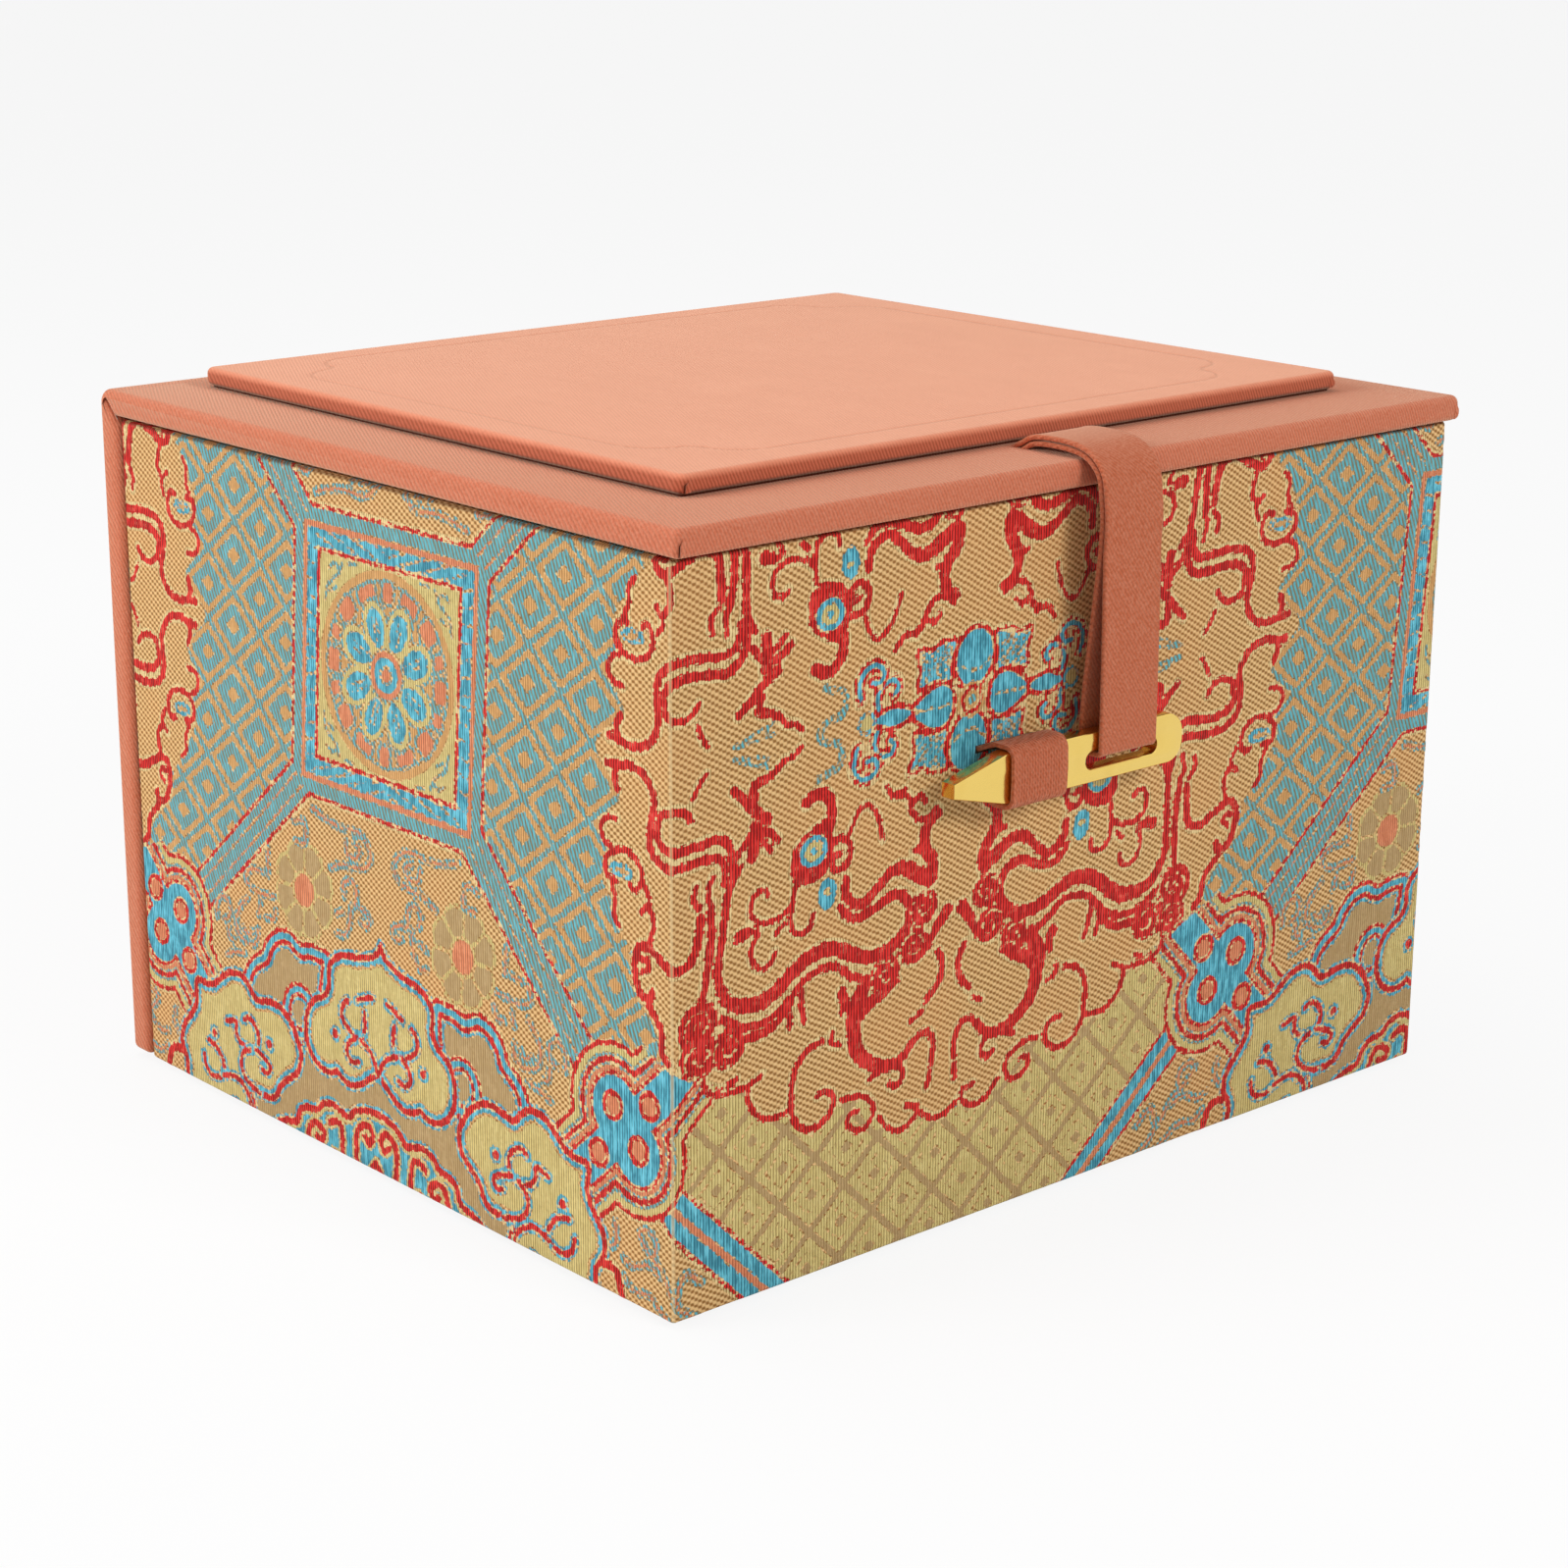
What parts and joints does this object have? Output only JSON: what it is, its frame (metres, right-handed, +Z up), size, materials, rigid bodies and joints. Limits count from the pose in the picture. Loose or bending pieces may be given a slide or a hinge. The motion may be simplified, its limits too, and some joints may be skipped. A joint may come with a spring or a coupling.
{
  "type": "velvet gift box",
  "caption": "Rectangular brocade-covered gift box with a hinged cloth lid, raised panel, velvet lining, cloth strap and brass toggle closure.",
  "frame": {"origin": "middle of the underside, on the surface that the box stands on", "axes": "+X to the right of someone who faces the strap, +Y towards the spine, +Z up"},
  "size_m": [0.151, 0.1396, 0.1084],
  "materials": {
    "greyboard": "raw",
    "base_paper": "matt",
    "brocade": "woven silk brocade",
    "salmon_cloth": "fine twill",
    "panel_velvet": "short nap",
    "lining_velvet": "velvet",
    "cushion_velvet": "velvet over foam",
    "strap_tape": "twill tape",
    "toggle_brass": "polished"
  },
  "bodies": {
    "box": {"base_sheet": "base_paper", "base_board": "greyboard", "wall_front": "greyboard", "wall_back": "greyboard", "wall_left": "greyboard", "wall_right": "greyboard", "brocade_wrap": "brocade", "lining_front": "lining_velvet", "lining_back": "lining_velvet", "lining_left": "lining_velvet", "lining_right": "lining_velvet", "floor_card": "greyboard", "floor_cushion": "cushion_velvet", "spine_board": "greyboard", "spine_cover": "salmon_cloth", "hinge_cloth": "salmon_cloth", "hinge_lining": "lining_velvet", "toggle_loop": "strap_tape"},
    "lid": {"lid_board": "greyboard", "lid_cover": "salmon_cloth", "panel_board": "greyboard", "panel_cover": "panel_velvet", "lid_lining_card": "greyboard", "lid_pad": "cushion_velvet", "strap_tab": "strap_tape"},
    "strap": {"strap_drop": "strap_tape"},
    "toggle": {"toggle": "toggle_brass"}
  },
  "joints": [
    {"name": "lid_hinge", "type": "hinge", "parent": "box", "child": "lid", "pos_m": [0, 0.06885, 0.1054], "axis": [-1, 0, 0], "range_deg": [0, 110], "deforming": ["hinge_cloth", "hinge_lining"]},
    {"name": "strap_swing", "type": "hinge", "parent": "lid", "child": "strap", "pos_m": [0, -0.06575, 0.1054], "axis": [-1, 0, 0], "range_deg": [0, 150], "deforming": ["strap_drop"]},
    {"name": "toggle_slide", "type": "slide", "parent": "strap", "child": "toggle", "axis": [1, 0, 0], "range_m": [0, 0.022], "deforming": ["toggle_loop"]}
  ]
}
